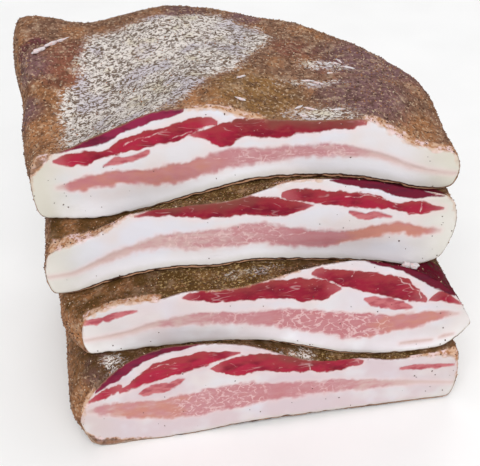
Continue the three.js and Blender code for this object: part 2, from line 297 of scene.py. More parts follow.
# Tints of the crust: middle and radius of each patch
TINTS = {
    "orange": [((-91, 17, 156), 24), ((-91, -23, 152), 26), ((-18, -40, 172), 14), ((-84, -62, 83), 34),
               ((-80, -56, 108), 30), ((-92, -79, 70), 14), ((-91, -63, 37), 30), ((-93, -82, 30), 20),
               ((86, -43, 146), 14)],
    "russet": [((-82, 38, 160), 14), ((-87, 26, 157), 16), ((35, 20, 165), 16), ((52, 2, 166), 12)],
    "olive": [((8, -33, 170), 26), ((-20, -55, 128), 34), ((30, -55, 137), 30), ((-14, -69, 91), 36),
              ((60, -78, 38), 30), ((-30, -81, 62), 26)],
    "purple": [((76, 9, 158), 36), ((62, -31, 165), 26), ((-104, 31, 157), 15), ((-107, 3, 146), 13),
               ((-78, -88, 51), 11), ((-20, 63, 167), 14), ((15, 62, 165), 12), ((95, 5, 150), 14)],
    "bruise": [((-101, 48, 163), 8), ((-107, 45, 158), 7)],
}

# Colours as they show, red, green and blue from 0 to 255
FAT_WHITE = (214, 210, 213)
FAT_WARM = (214, 205, 204)
FAT_COOL = (212, 214, 224)
# Painted light: a brighter fat for the lower edge of the faces, against the shade there
FAT_PAINTED_LIGHT = (248, 247, 252)
FAT_FLUSHED = (204, 184, 188)
FAT_CREAM = (200, 195, 180)
FAT_PINK = (224, 196, 195)
FAT_TAN = (204, 168, 142)
LEAN_RED = (134, 18, 42)
LEAN_CRIMSON = (172, 34, 63)
LEAN_DEEP = (102, 8, 32)
LEAN_ROSE = (150, 60, 58)
MUSCLE_ROSE = (188, 108, 112)
MUSCLE_DEEP = (164, 76, 85)
LEAN_BROWN = (118, 66, 56)
LEAN_DARK = (94, 6, 30)
LEAN_PLUM = (134, 32, 66)
LEAN_PURPLE = (72, 16, 40)
PALE_PINK = (188, 134, 138)
PALE_DEEP = (182, 114, 119)
PALE_ORANGE = (192, 131, 112)
PALE_TAN = (204, 182, 176)
CRUST_BROWN = (132, 96, 76)
CRUST_ORANGE = (166, 114, 74)
CRUST_RUSSET = (128, 76, 62)
CRUST_OLIVE = (136, 100, 56)
CRUST_PURPLE = (118, 86, 92)
CRUST_BRUISE = (96, 44, 58)
# Dark olive-brown painted on the ledges as shade from the piece above
CRUST_LEDGE_SHADE = (76, 51, 14)
CRUST_DARK = (76, 50, 38)
CRUST_LIGHT = (206, 178, 150)
CRUST_GOLD = (198, 168, 116)
MOULD_PALE = (226, 219, 214)
MOULD_OLIVE = (196, 184, 146)
MOULD_LILAC = (186, 180, 198)
MOULD_DARK = (104, 88, 76)
RIND_DARK = (66, 38, 26)
# Painted highlight: the tan line where light catches the rind's cut edge
RIND_HIGHLIGHT = (204, 160, 128)
RIND_BROWN = (108, 74, 50)
PEPPER_DARK = (76, 60, 54)
GRAIN_CREAM = (226, 208, 182)
FLOOR_PALE = (252, 252, 252)
FLOOR_SHADE = (249, 249, 249)

# Relief of the surfaces: heights, with the size of the features after each
CRUST_LUMPS = ((0.7, 16), (0.35, 6))
CRUST_GRAIN = ((0.3, 2.4), (0.25, 1.4))
FACE_WAVES = ((0.35, 30), (0.12, 7))
MOULD_RIDGES = 0.4
MOULD_STRETCH = (2.0, 1.2, 1.2)
# Share of the grain that mould smooths out
MOULD_SMOOTHS = 0.5
# Sunken lean, and the depths in a band where it starts to sink and has sunk in full
LEAN_RECESS = 0.3
RECESS_EDGE = (-0.5, 1.0)
# The worn rim of a cut face, and the share of the crust's relief that it keeps
RIM_SETBACK = 0.5
RIM_WIDTH = 1.4
RIM_RELIEF = 0.5
# Room in front of the crust where its relief starts and where it is full
RELIEF_ROOM = (0.3, 2.5)
# Waves of the rind's cut edge
EDGE_WAVES = 1.9
EDGE_WAVE_SIZE = 4.5
EDGE_WAVE_WIDTH = 3.0

# Spice grains on the crust: how many to a square mm, half their size, how far they are stretched and
# lifted, and the shares of them that mould and bare lean hide
GRAINS_PER_AREA = 0.2
GRAIN_SIZES = (0.2, 0.5)
GRAIN_STRETCH = (0.7, 1.3)
GRAIN_LIFT = 0.3
MOULD_HIDES = 0.85
LEAN_HIDES = 0.8

# Pepper bits on the cut faces: how many to a square mm, and half their size. Shares of them are left on lean
# and in the middle of a face. Off the lean and near the ends they grow to all, between these distances.
PEPPER_PER_AREA = 0.012
PEPPER_SIZES = (0.18, 0.5)
PEPPER_ON_LEAN = 0.2
PEPPER_OFF_LEAN = (0.5, 1.5)
PEPPER_MIDDLE = 0.4
PEPPER_ENDS = (50, 10)

# Room that a grain or bit needs, and the seed of their places
SCATTER_CLEARANCE = 2.0
SCATTER_SEED = 11

# Scraps of fat that stand out from the surface: place, half sizes and turn about Z in degrees.
# SCRAP_LUMPS is how many lumps there are to a half size, SCRAP_LEVELS how finely a scrap is divided.
SCRAPS = [
    ((78.5, -73.5, 88.2), (2.2, 2.2, 3.0), 15),
    ((83.0, -72.5, 88.0), (2.8, 1.8, 1.4), -15),
    ((-98.5, 40.5, 162.2), (4.2, 1.5, 0.8), 44),
    ((-92.5, 46.5, 162.4), (4.5, 1.2, 0.8), 42),
    ((-86.5, 51.0, 162.3), (4.0, 0.9, 0.6), 32),
    ((2.0, -20.0, 172.0), (2.6, 0.6, 0.5), 20),
    ((-1.0, -40.0, 171.2), (2.8, 0.8, 0.6), -35),
]
SCRAP_ROUGHNESS = 0.6
SCRAP_LUMPS = 1.7
SCRAP_LEVELS = 3

# Curled flakes of mould on the top piece: place, half length and turn about Z in degrees.
# Each lies as high as the surface within FLAKE_SPOT of its place.
FLAKES = [
    ((45.5, 3.5), 1.8, -50), ((50.5, 3.5), 1.8, 25), ((53.5, 3.2), 1.8, -25), ((56.5, 7), 2.4, -65),
    ((59.5, 0), 3.6, -30), ((35, -15), 3.4, -8), ((41, -17), 3.4, -32), ((49, -7), 1.4, 0),
    ((27, -42), 2.6, 30), ((32, -43.5), 3.0, -28), ((45, -45), 3.6, 0), ((28, -49), 2.0, -20),
]
FLAKE_THICKNESS = 0.5
FLAKE_SPOT = 1.2

# Stage, in metres and watts: the floor's half width, each light's place, width and power, and where they aim
FLOOR_HALF_M = 2.0
LIGHTS = {
    "key": ((-0.5, -1.7, 2.2), 1.6, 37.0),
    "front": ((0.4, -2.0, 1.4), 1.6, 18.0),
    "back": ((0.3, 1.6, 2.0), 2.0, 20.0),
}
LIGHT_TARGET_M = (0, 0, 0.08)
WORLD_STRENGTH = 0.39


def smoothstep(values, low, high):
    """0 at low, 1 at high and a soft change between them."""
    share = np.clip((values - low) / (high - low), 0, 1)
    return share * share * (3 - 2 * share)


def noise_at(points, size, seed):
    """Smooth noise from -1 to 1 at points, with features about one size apart."""
    places = points / np.asarray(size) + SEED_STEP * seed
    return np.array([noise.noise(place) for place in places.tolist()])


def layered_noise(points, layers, seed):
    return sum(height * noise_at(points, size, seed + i) for i, (height, size) in enumerate(layers))


def smooth_curve(knots, values, at):
    """A curve through the values at the knots that never overshoots them."""
    run = np.diff(knots)
    slopes = np.diff(values) / run
    before, after = slopes[:-1], slopes[1:]
    same_way = before * after > 0
    middle = np.where(same_way, 2 * before * after / np.where(same_way, before + after, 1), 0)
    tangents = np.concatenate([slopes[:1], middle, slopes[-1:]])
    inside = np.clip(at, knots[0], knots[-1])
    first = np.clip(np.searchsorted(knots, inside) - 1, 0, len(run) - 1)
    t = (inside - knots[first]) / run[first]
    rise = (3 - 2 * t) * t * t
    leave = t * (1 - t) ** 2 * run[first] * tangents[first]
    arrive = t * t * (t - 1) * run[first] * tangents[first + 1]
    return values[first] * (1 - rise) + values[first + 1] * rise + leave + arrive


def band_at(band, along, height):
    """Where points lie in a band of a cut face.

    Returns how deep they lie inside it, negative outside, half its thickness there, the share of the way up
    it, and the distance to its nearer end.
    """
    knots, uppers, lowers = np.array(band, float).T
    upper = smooth_curve(knots, uppers, along)
    lower = smooth_curve(knots, lowers, along)
    middle = (uppers + lowers) / 2
    slope = smooth_curve(knots, middle, along + 1) - smooth_curve(knots, middle, along)
    steepness = np.hypot(1, slope)
    depth = np.minimum(upper - height, height - lower) / steepness
    beyond = np.maximum(knots[0] - along, along - knots[-1])
    depth = np.where(beyond > 0, -np.hypot(beyond, np.minimum(depth, 0)), depth)
    thickness = np.maximum(upper - lower, THINNEST_BAND)
    return depth, thickness / 2 / steepness, (height - lower) / thickness, -beyond


def distance_to_line(points, line):
    """Distance of points to a line of straight stretches."""
    nearest = np.full(len(points), np.inf)
    for start, end in zip(line[:-1], line[1:]):
        way = end - start
        share = np.clip((points - start) @ way / (way @ way), 0, 1)
        nearest = np.minimum(nearest, np.linalg.norm(points - start - share[:, None] * way, axis=1))
    return nearest


def depth_in_outline(points, outline):
    """How deep flat points lie inside a closed outline, negative outside it."""
    closed = np.array([*outline, outline[0]], float)
    inside = np.zeros(len(points), bool)
    for (x0, y0), (x1, y1) in zip(closed[:-1], closed[1:]):
        passes = (points[:, 1] < y0) != (points[:, 1] < y1)
        crossing = x0 + (points[:, 1] - y0) * (x1 - x0) / (y1 - y0 if y1 != y0 else 1)
        inside ^= passes & (points[:, 0] < crossing)
    return np.where(inside, 1, -1) * distance_to_line(points, closed)


def within(along, start, end, blend):
    """1 inside a stretch, 0 outside it and a soft change over the blend at its ends."""
    return smoothstep(np.minimum(along - start, end - along), 0, blend)


def stretches_at(stretches, along):
    """The largest weight of the stretches at places along."""
    weights = [weight * within(along, start, end, STRETCH_BLEND) for start, end, weight in stretches]
    return np.max(weights, axis=0)


def add_object(name, data):
    thing = bpy.data.objects.new(name, data)
    bpy.context.scene.collection.objects.link(thing)
    return thing


def keep_on(mesh, name, values):
    """Stores one number for each point of a mesh, for the materials."""
    attribute = mesh.attributes.new(name, "FLOAT", "POINT")
    attribute.data.foreach_set("value", values.astype(np.float32))


# The surface mesh

def is_cut_face(face):
    return face.normal.y < -FACE_SQUARE and abs(face.normal.z) < FACE_UPRIGHT


def rounded_copy(name, node):
    """The solid's facets as quads, rounded, with the rim of the cut face kept sharp.

    Material 0 is the cut face and material 1 the crust.
    """
    work = bmesh.new()
    work.from_mesh(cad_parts[node].data)
    bmesh.ops.remove_doubles(work, verts=work.verts, dist=WELD * MM)
    bmesh.ops.join_triangles(work, faces=work.faces, angle_face_threshold=math.radians(JOIN_FACE_DEG),
                             angle_shape_threshold=math.radians(JOIN_SHAPE_DEG))
    work.normal_update()
    for face in work.faces:
        face.material_index = 0 if is_cut_face(face) else 1
    crease = work.edges.layers.float.new("crease_edge")
    for edge in work.edges:
        if len({face.material_index for face in edge.link_faces}) == 2:
            edge[crease] = 1.0
    mesh = bpy.data.meshes.new(name)
    work.to_mesh(mesh)
    work.free()
    slab = add_object(name, mesh)
    slab.modifiers.new("rounding", "SUBSURF").levels = ROUNDING_LEVELS
    rounded = slab.evaluated_get(bpy.context.evaluated_depsgraph_get())
    slab.data = bpy.data.meshes.new_from_object(rounded)
    slab.modifiers.clear()
    return slab


def neighbours_of(node):
    """A search tree over the solids around one solid."""
    corners, polygons = [], []
    for other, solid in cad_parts.items():
        if other != node:
            first = len(corners)
            corners.extend(vertex.co for vertex in solid.data.vertices)
            polygons.extend([first + i for i in polygon.vertices] for polygon in solid.data.polygons)
    return BVHTree.FromPolygons(corners, polygons)


def clearance(tree, place):
    """Distance of a place in metres to the nearest other piece or the ground, in mm."""
    nearest = tree.find_nearest(place, REACH * MM)[3]
    distance = REACH if nearest is None else nearest / MM
    return min(distance, place[2] / MM)


def refine(slab, tree):
    """Splits long edges where the surface shows."""
    work = bmesh.new()
    work.from_mesh(slab.data)
    for _ in range(REFINE_PASSES):
        long_edges = set()
        for face in work.faces:
            if clearance(tree, face.calc_center_median()) > COVERED:
                long_edges.update(edge for edge in face.edges if edge.calc_length() > LONGEST_EDGE * MM)
        bmesh.ops.subdivide_edges(work, edges=list(long_edges), cuts=1, use_grid_fill=True)
    work.to_mesh(slab.data)
    work.free()


def read_vectors(items, name):
    values = np.empty(len(items) * 3, np.float32)
    items.foreach_get(name, values)
    return values.reshape(-1, 3).astype(float)


def chain_between(start, first, end, links):
    """The loop's vertices from start to end, leaving start towards first."""
    chain = [start, first]
    while chain[-1] != end:
        one, other = links[chain[-1]]
        chain.append(other if one == chain[-2] else one)
    return chain


class Surface:
    """The points of a dressed piece in mm, and where each lies on it."""

    def __init__(self, slab, piece, tree):
        self.slab = slab
        self.piece = piece
        mesh = slab.data
        self.points = read_vectors(mesh.vertices, "co") / MM
        self.normals = read_vectors(mesh.vertex_normals, "vector")
        self.along = self.points[:, 0] - ALONG_START[piece]
        self.height = self.points[:, 2]
        self.flat = np.stack([self.along, self.height], axis=1)
        self.clear = np.array([clearance(tree, place) for place in (self.points * MM).tolist()])
        self.find_face()
        ends = self.along[self.face]
        self.from_end = np.minimum(self.along - ends.min(), ends.max() - self.along)
        slant, front = np.polyfit(self.points[self.face, 0], self.points[self.face, 1], 1)
        self.face_normal = np.array([slant, -1, 0]) / math.hypot(slant, 1)
        self.inward = self.points[:, 1] - front - slant * self.points[:, 0]

    def find_face(self):
        """Finds the cut face's points, its rim, and their distance to the rim's upper and lower edge."""
        sides = [[polygon for polygon in self.slab.data.polygons if polygon.material_index == side]
                 for side in (0, 1)]
        face_edges, crust_edges = ({key for polygon in side for key in polygon.edge_keys} for side in sides)
        rim_edges = face_edges & crust_edges
        links = {}
        for one, other in rim_edges:
            links.setdefault(one, []).append(other)
            links.setdefault(other, []).append(one)
        self.on_face = np.zeros(len(self.points), bool)
        self.on_face[list({corner for edge in face_edges for corner in edge})] = True
        self.face = np.flatnonzero(self.on_face)
        self.rim = np.array(sorted(links))
        left = self.rim[np.argmin(self.along[self.rim])]
        right = self.rim[np.argmax(self.along[self.rim])]
        chains = [chain_between(left, first, right, links) for first in links[left]]
        chains.sort(key=lambda chain: self.height[chain].mean())
        self.lower_edge, self.upper_edge = (
            self.on_face_only(distance_to_line(self.flat[self.face], self.flat[chain]), FAR)
            for chain in chains)

    def on_face_only(self, values, elsewhere):
        """Values of the cut face's points, filled up for all the other points."""
        full = np.full(len(self.points), float(elsewhere))
        full[self.face] = values
        return full

    def move(self, offsets):
        self.points += offsets
        self.slab.data.vertices.foreach_set("co", (self.points * MM).astype(np.float32).ravel())
        self.slab.data.update()


# Patterns on the surfaces

def lean_pattern(surface):
    """For each kind of band, how deep each point of the cut face lies in the nearest one.

    Fat cuts short notches into the edges of the lean. half_, rise_ and end_ before the kind are half the
    band's thickness, the share of the way up it and the distance to its nearer end.
    """
    face = surface.face
    points = surface.points[face]
    notches = np.maximum(NOTCH_WIDTH - NOTCH_STEEPNESS * np.abs(noise_at(points, NOTCH_SIZE, seed=1)), 0)
    wobble = WOBBLE * noise_at(points, WOBBLE_SIZE, seed=2) - NOTCH_DEPTH * notches
    pattern = {}
    for kind in BAND_KINDS:
        deepest = np.full(len(face), -FAR)
        details = {name: np.zeros(len(face)) for name in ("half_", "rise_", "end_")}
        for band in (band for name, band in BANDS[surface.piece] if name == kind):
            depth, *found = band_at(band, surface.along[face], surface.height[face])
            share = np.clip(found[0] / FULL_RAGGED, LEAST_RAGGED, 1)
            depth = depth + BAND_RAGGEDNESS[kind] * wobble * share
            nearer = depth > deepest
            deepest = np.where(nearer, depth, deepest)
            for name, values in zip(details, found):
                details[name] = np.where(nearer, values, details[name])
        pattern[kind] = surface.on_face_only(deepest, -FAR)
        for name, values in details.items():
            pattern[name + kind] = surface.on_face_only(values, 0)
    return pattern


def fascia_distance(surface):
    points = surface.points[surface.face]
    sway = np.stack([noise_at(points, FASCIA_SWAY_SIZE, seed) for seed in (15, 16)], axis=1)
    flat = surface.flat[surface.face] + FASCIA_SWAY * sway
    lines = [distance_to_line(flat, np.array(line, float)) for line in FASCIA[surface.piece]]
    return surface.on_face_only(np.min(lines, axis=0), FAR)


def rind_share(surface):
    """Distance from the lower edge as a share of the rind's thickness there."""
    knots, thicknesses = np.array(RIND[surface.piece], float).T
    return surface.lower_edge / smooth_curve(knots, thicknesses, surface.along)


def thin_crust(surface):
    """1 where the crust is thin along the cut, 0 where it is whole."""
    weights = []
    for start, end, back in THIN_CRUST[surface.piece]:
        beside = within(surface.along, start, end, THIN_CRUST_BLEND)
        weights.append(beside * (1 - smoothstep(surface.inward, THIN_CRUST_CORE * back, back)))
    return np.max(weights, axis=0)


def mould_depth(surface):
    """How deep each point of the crust lies in a mould patch."""
    flat = surface.points[:, :2]
    patches = [np.full(len(flat), -FAR)]
    if surface.piece == "top":
        patches.append(depth_in_outline(flat, MOULD_OUTLINE))
    for x, y, radius_x, radius_y in MOULD_SPOTS[surface.piece]:
        reach = np.hypot((flat[:, 0] - x) / radius_x, (flat[:, 1] - y) / radius_y)
        patches.append((1 - reach) * min(radius_x, radius_y) - SPOT_FADE)
    facing_up = smoothstep(surface.normals[:, 2], *MOULD_FACING)
    return np.where(facing_up > 0, np.max(patches, axis=0), -FAR) - STEEP_LOSS * (1 - facing_up)


def shaded_ledges(surface):
    """Painted shade: 1 on the narrow ledges in front of the piece above, 0 on the top piece and on steep
    sides.
    """
    if surface.piece == "top":
        return np.zeros(len(surface.points))
    return smoothstep(surface.normals[:, 2], *LEDGE_FACING)


def bare_lean(surface):
    """1 on the parts of the ledges that show lean, 0 elsewhere."""
    if surface.piece not in BARE_LEAN:
        return np.zeros(len(surface.points))
    distance = distance_to_line(surface.points, np.array(BARE_LEAN[surface.piece], float))
    return 1 - smoothstep(distance, BARE_CORE * BARE_REACH, BARE_REACH)


def tint_weight(surface, patches):
    distances = [np.linalg.norm(surface.points - np.array(middle, float), axis=1) / radius
                 for middle, radius in patches]
    return np.exp(-np.min(distances, axis=0) ** 2)


# Relief

def crust_relief(surface):
    """Lumps and grain of the crust and the ridges of the mould, along the surface's own normals."""
    crust = np.union1d(np.flatnonzero(~surface.on_face), surface.rim)
    points = surface.points[crust]
    mouldy = smoothstep(surface.mould[crust], *MOULD_FADE)
    ridges = MOULD_RIDGES * noise_at(points, MOULD_STRETCH, seed=9)
    grain = layered_noise(points, CRUST_GRAIN, seed=5) * (1 - MOULD_SMOOTHS * mouldy) + ridges * mouldy
    free = smoothstep(surface.clear[crust], *RELIEF_ROOM)
    height = np.zeros(len(surface.points))
    height[crust] = (layered_noise(points, CRUST_LUMPS, seed=3) + grain) * free
    height[surface.rim] *= RIM_RELIEF
    return height[:, None] * surface.normals


def face_relief(surface):
    """Sunken lean, a slightly wavy cut and a worn rim, square to the cut face."""
    sunken = LEAN_RECESS * smoothstep(surface.lean, *RECESS_EDGE)
    from_rim = np.minimum(surface.upper_edge, surface.lower_edge)
    worn = RIM_SETBACK * np.clip(1 - from_rim / RIM_WIDTH, 0, 1) ** 2
    waves = surface.on_face_only(layered_noise(surface.points[surface.face], FACE_WAVES, seed=11), 0)
    return (waves - sunken - worn)[:, None] * surface.face_normal


def edge_waves(surface):
    """The rind's cut edge lifts a little in short waves."""
    edge = np.clip(1 - surface.lower_edge / EDGE_WAVE_WIDTH, 0, 1)
    lift = np.maximum(noise_at(surface.points, EDGE_WAVE_SIZE, seed=13), 0)
    offsets = np.zeros_like(surface.points)
    offsets[:, 2] = EDGE_WAVES * edge * lift
    return offsets


def keep_patterns(surface, lean):
    """Stores what the materials read at each point of a dressed piece."""
    piece = surface.piece
    values = {name: lean[name] for name in LEAN_VALUES}
    values.update({tone: np.full(len(surface.points), share) for tone, share in TONES[piece].items()})
    for name, stretches in (("marbled", MARBLED), ("warm", WARM), ("dried", DRIED)):
        values[name] = stretches_at(stretches[piece], surface.along)
    for name, curve in (("fading", FADING), ("crimson", CRIMSON)):
        values[name] = smooth_curve(*np.array(curve[piece], float).T, surface.along)
    # Painted light on the fat near each face's lower edge, where the ledge in front shades it
    values["foot_painted_light"] = PAINTED_LIGHT_FOOT[piece] * smoothstep(surface.lower_edge, *FOOT_REACH)
    for name, pattern in (("ledge_shade", shaded_ledges), ("bare_lean", bare_lean), ("fascia", fascia_distance),
                          ("rind", rind_share), ("thin_crust", thin_crust)):
        values[name] = pattern(surface)
    values["mould"] = surface.mould
    values.update({tint: tint_weight(surface, patches) for tint, patches in TINTS.items()})
    values["upper_edge"] = surface.upper_edge
    values["from_end"] = surface.from_end
    for name, numbers in values.items():
        keep_on(surface.slab.data, name, numbers)


def dress(piece):
    """Builds the form that stands for a piece's solid, with its patterns and relief."""
    node = "piece_" + piece
    tree = neighbours_of(node)
    slab = rounded_copy(piece + "_slab", node)
    refine(slab, tree)
    surface = Surface(slab, piece, tree)
    lean = lean_pattern(surface)
    surface.lean = np.max([lean[kind] for kind in LEAN_KINDS], axis=0)
    surface.mould = mould_depth(surface)
    keep_patterns(surface, lean)
    surface.move(crust_relief(surface) + face_relief(surface) + edge_waves(surface))
    slab.data.shade_smooth()
    slab.data.materials.append(CUT_FACE)
    slab.data.materials.append(CRUST)
    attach(slab, "root")
    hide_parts(node)
    return surface


# Materials

def shown(colour):
    """A colour as it shows, as the linear colour that a shader takes."""
    share = np.array(colour, float) / 255
    linear = np.where(share <= 0.04045, share / 12.92, ((share + 0.055) / 1.055) ** 2.4)
    return (*linear, 1.0)


class Paint:
    """The nodes of one material. Each method returns the socket that holds its result.

    A value is a socket, a number, a colour, or the name of a number that the surface keeps for each point.
    """

    def __init__(self, name, roughness, specular):
        self.material = bpy.data.materials.new(name)
        self.material.use_nodes = True
        self.nodes = self.material.node_tree.nodes
        self.links = self.material.node_tree.links
        self.shader = self.nodes["Principled BSDF"]
        self.shader.inputs["Roughness"].default_value = roughness
        self.shader.inputs["Specular IOR Level"].default_value = specular
        self.place = self.nodes.new("ShaderNodeTexCoord").outputs["Object"]

    def feed(self, socket, value):
        if isinstance(value, str):
            value = self.node("Attribute", {}, attribute_name=value).outputs["Fac"]
        if isinstance(value, bpy.types.NodeSocket):
            self.links.new(value, socket)
        elif socket.type == "RGBA":
            socket.default_value = shown(value)
        else:
            socket.default_value = value

    def node(self, kind, inputs, **settings):
        """A new node with these settings, and values fed to its inputs."""
        node = self.nodes.new("ShaderNode" + kind)
        for name, setting in settings.items():
            setattr(node, name, setting)
        for socket, value in inputs.items():
            self.feed(node.inputs[socket], value)
        return node

    def math(self, operation, first, second=0.0):
        return self.node("Math", {0: first, 1: second}, operation=operation).outputs[0]

    def times(self, first, second):
        return self.math("MULTIPLY", first, second)

    def place_in(self, size):
        """The place on the object, counted in features of this size."""
        sizes = np.broadcast_to(size, 3) * MM
        return self.node("VectorMath", {0: self.place, 1: sizes}, operation="DIVIDE").outputs[0]

    def noise(self, size, detail=2.0, warp=0.0, output="Fac"):
        inputs = {"Vector": self.place_in(size), "Scale": 1.0, "Detail": detail, "Distortion": warp}
        return self.node("TexNoise", inputs).outputs[output]

    def cell_walls(self, size, sway):
        """Distance from the walls between uneven cells, in cells. sway bends the walls."""
        inputs = {0: self.noise(size, output="Color"), 1: (sway, sway, sway), 2: self.place_in(size)}
        bent = self.node("VectorMath", inputs, operation="MULTIPLY_ADD").outputs[0]
        cells = self.node("TexVoronoi", {"Vector": bent, "Scale": 1.0}, feature="DISTANCE_TO_EDGE")
        return cells.outputs["Distance"]

    def step(self, value, low, high):
        """0 at low, 1 at high and a soft change between them. low may be the larger."""
        inputs = {"Value": value, "From Min": low, "From Max": high}
        return self.node("MapRange", inputs, interpolation_type="SMOOTHSTEP").outputs["Result"]

    def blotches(self, size, low, high, detail=2.0):
        """Noise with features of this size, as 0 where it is at low and 1 where it is at high."""
        return self.step(self.noise(size, detail), low, high)

    def layers(self, colour, *layers):
        """A colour with layers over it, from the lowest up: each a colour and shares that multiply."""
        for top, *shares in layers:
            share = functools.reduce(self.times, shares)
            colour = self.node("Mix", {0: share, 6: colour, 7: top}, data_type="RGBA").outputs[2]
        return colour

    def ragged(self, depth, size, height, share=1.0, detail=3.0):
        """A depth with its zero line made uneven by a share of noise of this size and height."""
        swing = self.times(self.math("SUBTRACT", self.noise(size, detail), 0.5), 2 * height)
        return self.math("ADD", depth, self.times(swing, share))

    def bump(self, height, distance, strength):
        inputs = {"Height": height, "Distance": distance * MM, "Strength": strength}
        self.feed(self.shader.inputs["Normal"], self.node("Bump", inputs).outputs["Normal"])

    def finish(self, colour):
        self.feed(self.shader.inputs["Base Color"], colour)
        return self.material


def fat_colour(paint):
    ends = paint.step(paint.ragged("from_end", 12, 6), 30, 4)
    return paint.layers(
        FAT_WHITE,
        (FAT_WARM, paint.blotches(24, 0.42, 0.62)),
        (FAT_COOL, paint.blotches(30, 0.48, 0.66), 0.7),
        # painted light on the lower fat, against the shade from the ledge in front
        (FAT_PAINTED_LIGHT, "foot_painted_light"),
        (FAT_FLUSHED, "flushed", paint.blotches(16, 0.25, 0.6)),
        (FAT_CREAM, ends, "creamy"))


def pale_lean_colour(paint):
    """Pink, deeper, warmer or faded along the face, with a net of fat."""
    fading = paint.ragged("fading", (7, 7, 3), 1)
    warm = paint.step(paint.ragged("warm", (9, 9, 5), 1), 0.1, 1.2)
    walls = paint.step(paint.ragged(paint.cell_walls((5.2, 5.2, 4), 1.6), 6, 0.07), 0.13, 0.02)
    netted = paint.step(paint.ragged("marbled", 7, 0.6), 0.2, 1)
    return paint.layers(
        PALE_PINK,
        (PALE_DEEP, paint.step(fading, 0.4, -1.2)),
        (PALE_ORANGE, warm, 0.8),
        (PALE_TAN, paint.step(fading, 0.1, 1.1), 0.7),
        (PALE_TAN, paint.step("half_pale", 2.6, 0.7), 0.8),
        (FAT_PINK, walls, paint.blotches(2.4, 0.36, 0.6), netted, 0.65))


def rose_lean_colour(paint):
    return paint.layers(MUSCLE_ROSE, (MUSCLE_DEEP, paint.blotches((6, 6, 2.4), 0.4, 0.65, 3)))


def red_lean_colour(paint, depth):
    """Red, blotched deep and rose, dried brown above, paler at the ends, with seams and flecks of fat."""
    upper = paint.step(paint.ragged("rise_red", (12, 12, 4), 0.5), 0.4, 1)
    dried = paint.step(paint.ragged("upper_edge", 11, 6), 7, 0.5)
    ends = paint.step(paint.ragged("end_red", 6, 4), 10, 0)
    swing = paint.math("SUBTRACT", paint.noise((20, 20, 5), 1), 0.5)
    seams = paint.step(paint.math("ABSOLUTE", swing), 0.02, 0)
    return paint.layers(
        LEAN_RED,
        (LEAN_CRIMSON, "crimson"),
        (LEAN_DEEP, paint.blotches((11, 11, 6), 0.4, 0.75), 0.8),
        (LEAN_ROSE, paint.blotches((4.5, 4.5, 2.4), 0.46, 0.7, 3), 0.4),
        (LEAN_ROSE, upper, 0.65),
        (LEAN_BROWN, dried, "dried", 0.85),
        (LEAN_ROSE, paint.step(depth, 0.8, 0), 0.5),
        (MUSCLE_ROSE, ends, 0.5),
        (FAT_PINK, seams, paint.blotches(7, 0.48, 0.64), 0.3),
        (FAT_PINK, paint.blotches((2.4, 2.4, 1.4), 0.7, 0.78), 0.45))


def dark_lean_colour(paint):
    return paint.layers(
        LEAN_DARK,
        (LEAN_PLUM, "plum", paint.blotches(12, 0.2, 0.5)),
        (LEAN_PURPLE, paint.blotches((13, 13, 4), 0.5, 0.7, 3), 0.6))


def thin_crust_colour(paint):
    return paint.layers(
        FAT_TAN,
        (FAT_PINK, paint.blotches(6, 0.46, 0.66)),
        (CRUST_ORANGE, paint.blotches(2, 0.44, 0.6, 3), 0.85))


def smear_colour(paint, depth):
    """Crust on the cut face, thinner towards the edge of the smear."""
    crust = paint.layers(CRUST_BROWN, (CRUST_DARK, paint.blotches(2.5, 0.4, 0.62, 3)))
    return paint.layers(thin_crust_colour(paint), (crust, paint.step(depth, 0.4, 1.6), 0.8))


def rind_over(paint, colour):
    """The rind's cut edge along the bottom: dark, a tan line of painted highlight, dark, and a warm fade into
    the fat.
    """
    share = paint.ragged("rind", 4.5, 0.4)
    return paint.layers(
        colour,
        (FAT_CREAM, paint.step(share, 3, 1), 0.5),
        (RIND_DARK, paint.step(share, 1.1, 0.9)),
        # painted highlight: a tan line where light catches the rind's edge
        (RIND_HIGHLIGHT, paint.step(share, 0.7, 0.6), paint.blotches(7, 0.3, 0.48)),
        (RIND_DARK, paint.step(share, 0.32, 0.2)))


def band_depth(paint, kind, size, height):
    """How deep a place lies in a kind of band, with uneven edges, less so where the band is thin."""
    share = paint.step("half_" + kind, 0.4, 2.6)
    return paint.ragged(paint.ragged(kind, size, height, share, 1), 1.3, 0.2)


